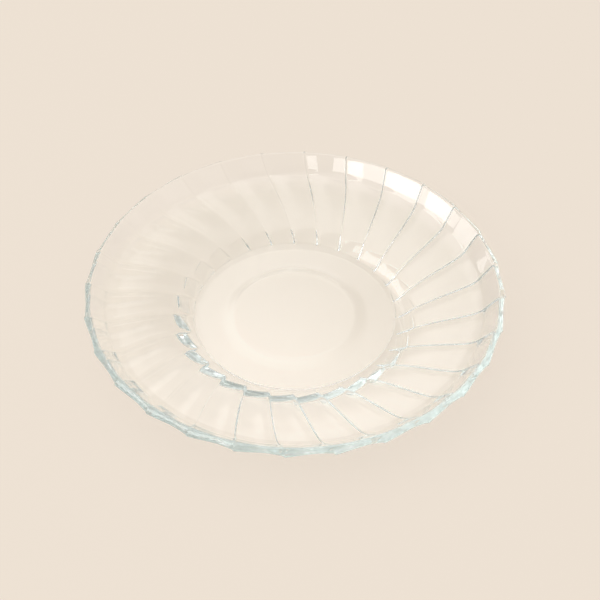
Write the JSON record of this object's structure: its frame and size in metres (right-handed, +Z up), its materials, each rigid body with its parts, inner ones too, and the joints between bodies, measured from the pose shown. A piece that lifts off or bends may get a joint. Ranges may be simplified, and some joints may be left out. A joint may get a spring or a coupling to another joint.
{
  "type": "dessert plate",
  "caption": "Round scalloped dessert plate in clear pressed glass, with a shallow well, a brim of swirled flutes and a turned-up lip.",
  "frame": {"origin": "centre of the flat base, on the table", "axes": "+Z up along the plate's axis, +Y away from the side the picture is taken from"},
  "size_m": [0.1998, 0.1998, 0.0232],
  "materials": {
    "glass": "polished"
  },
  "bodies": {
    "root": {"plate": "glass"}
  },
  "joints": []
}
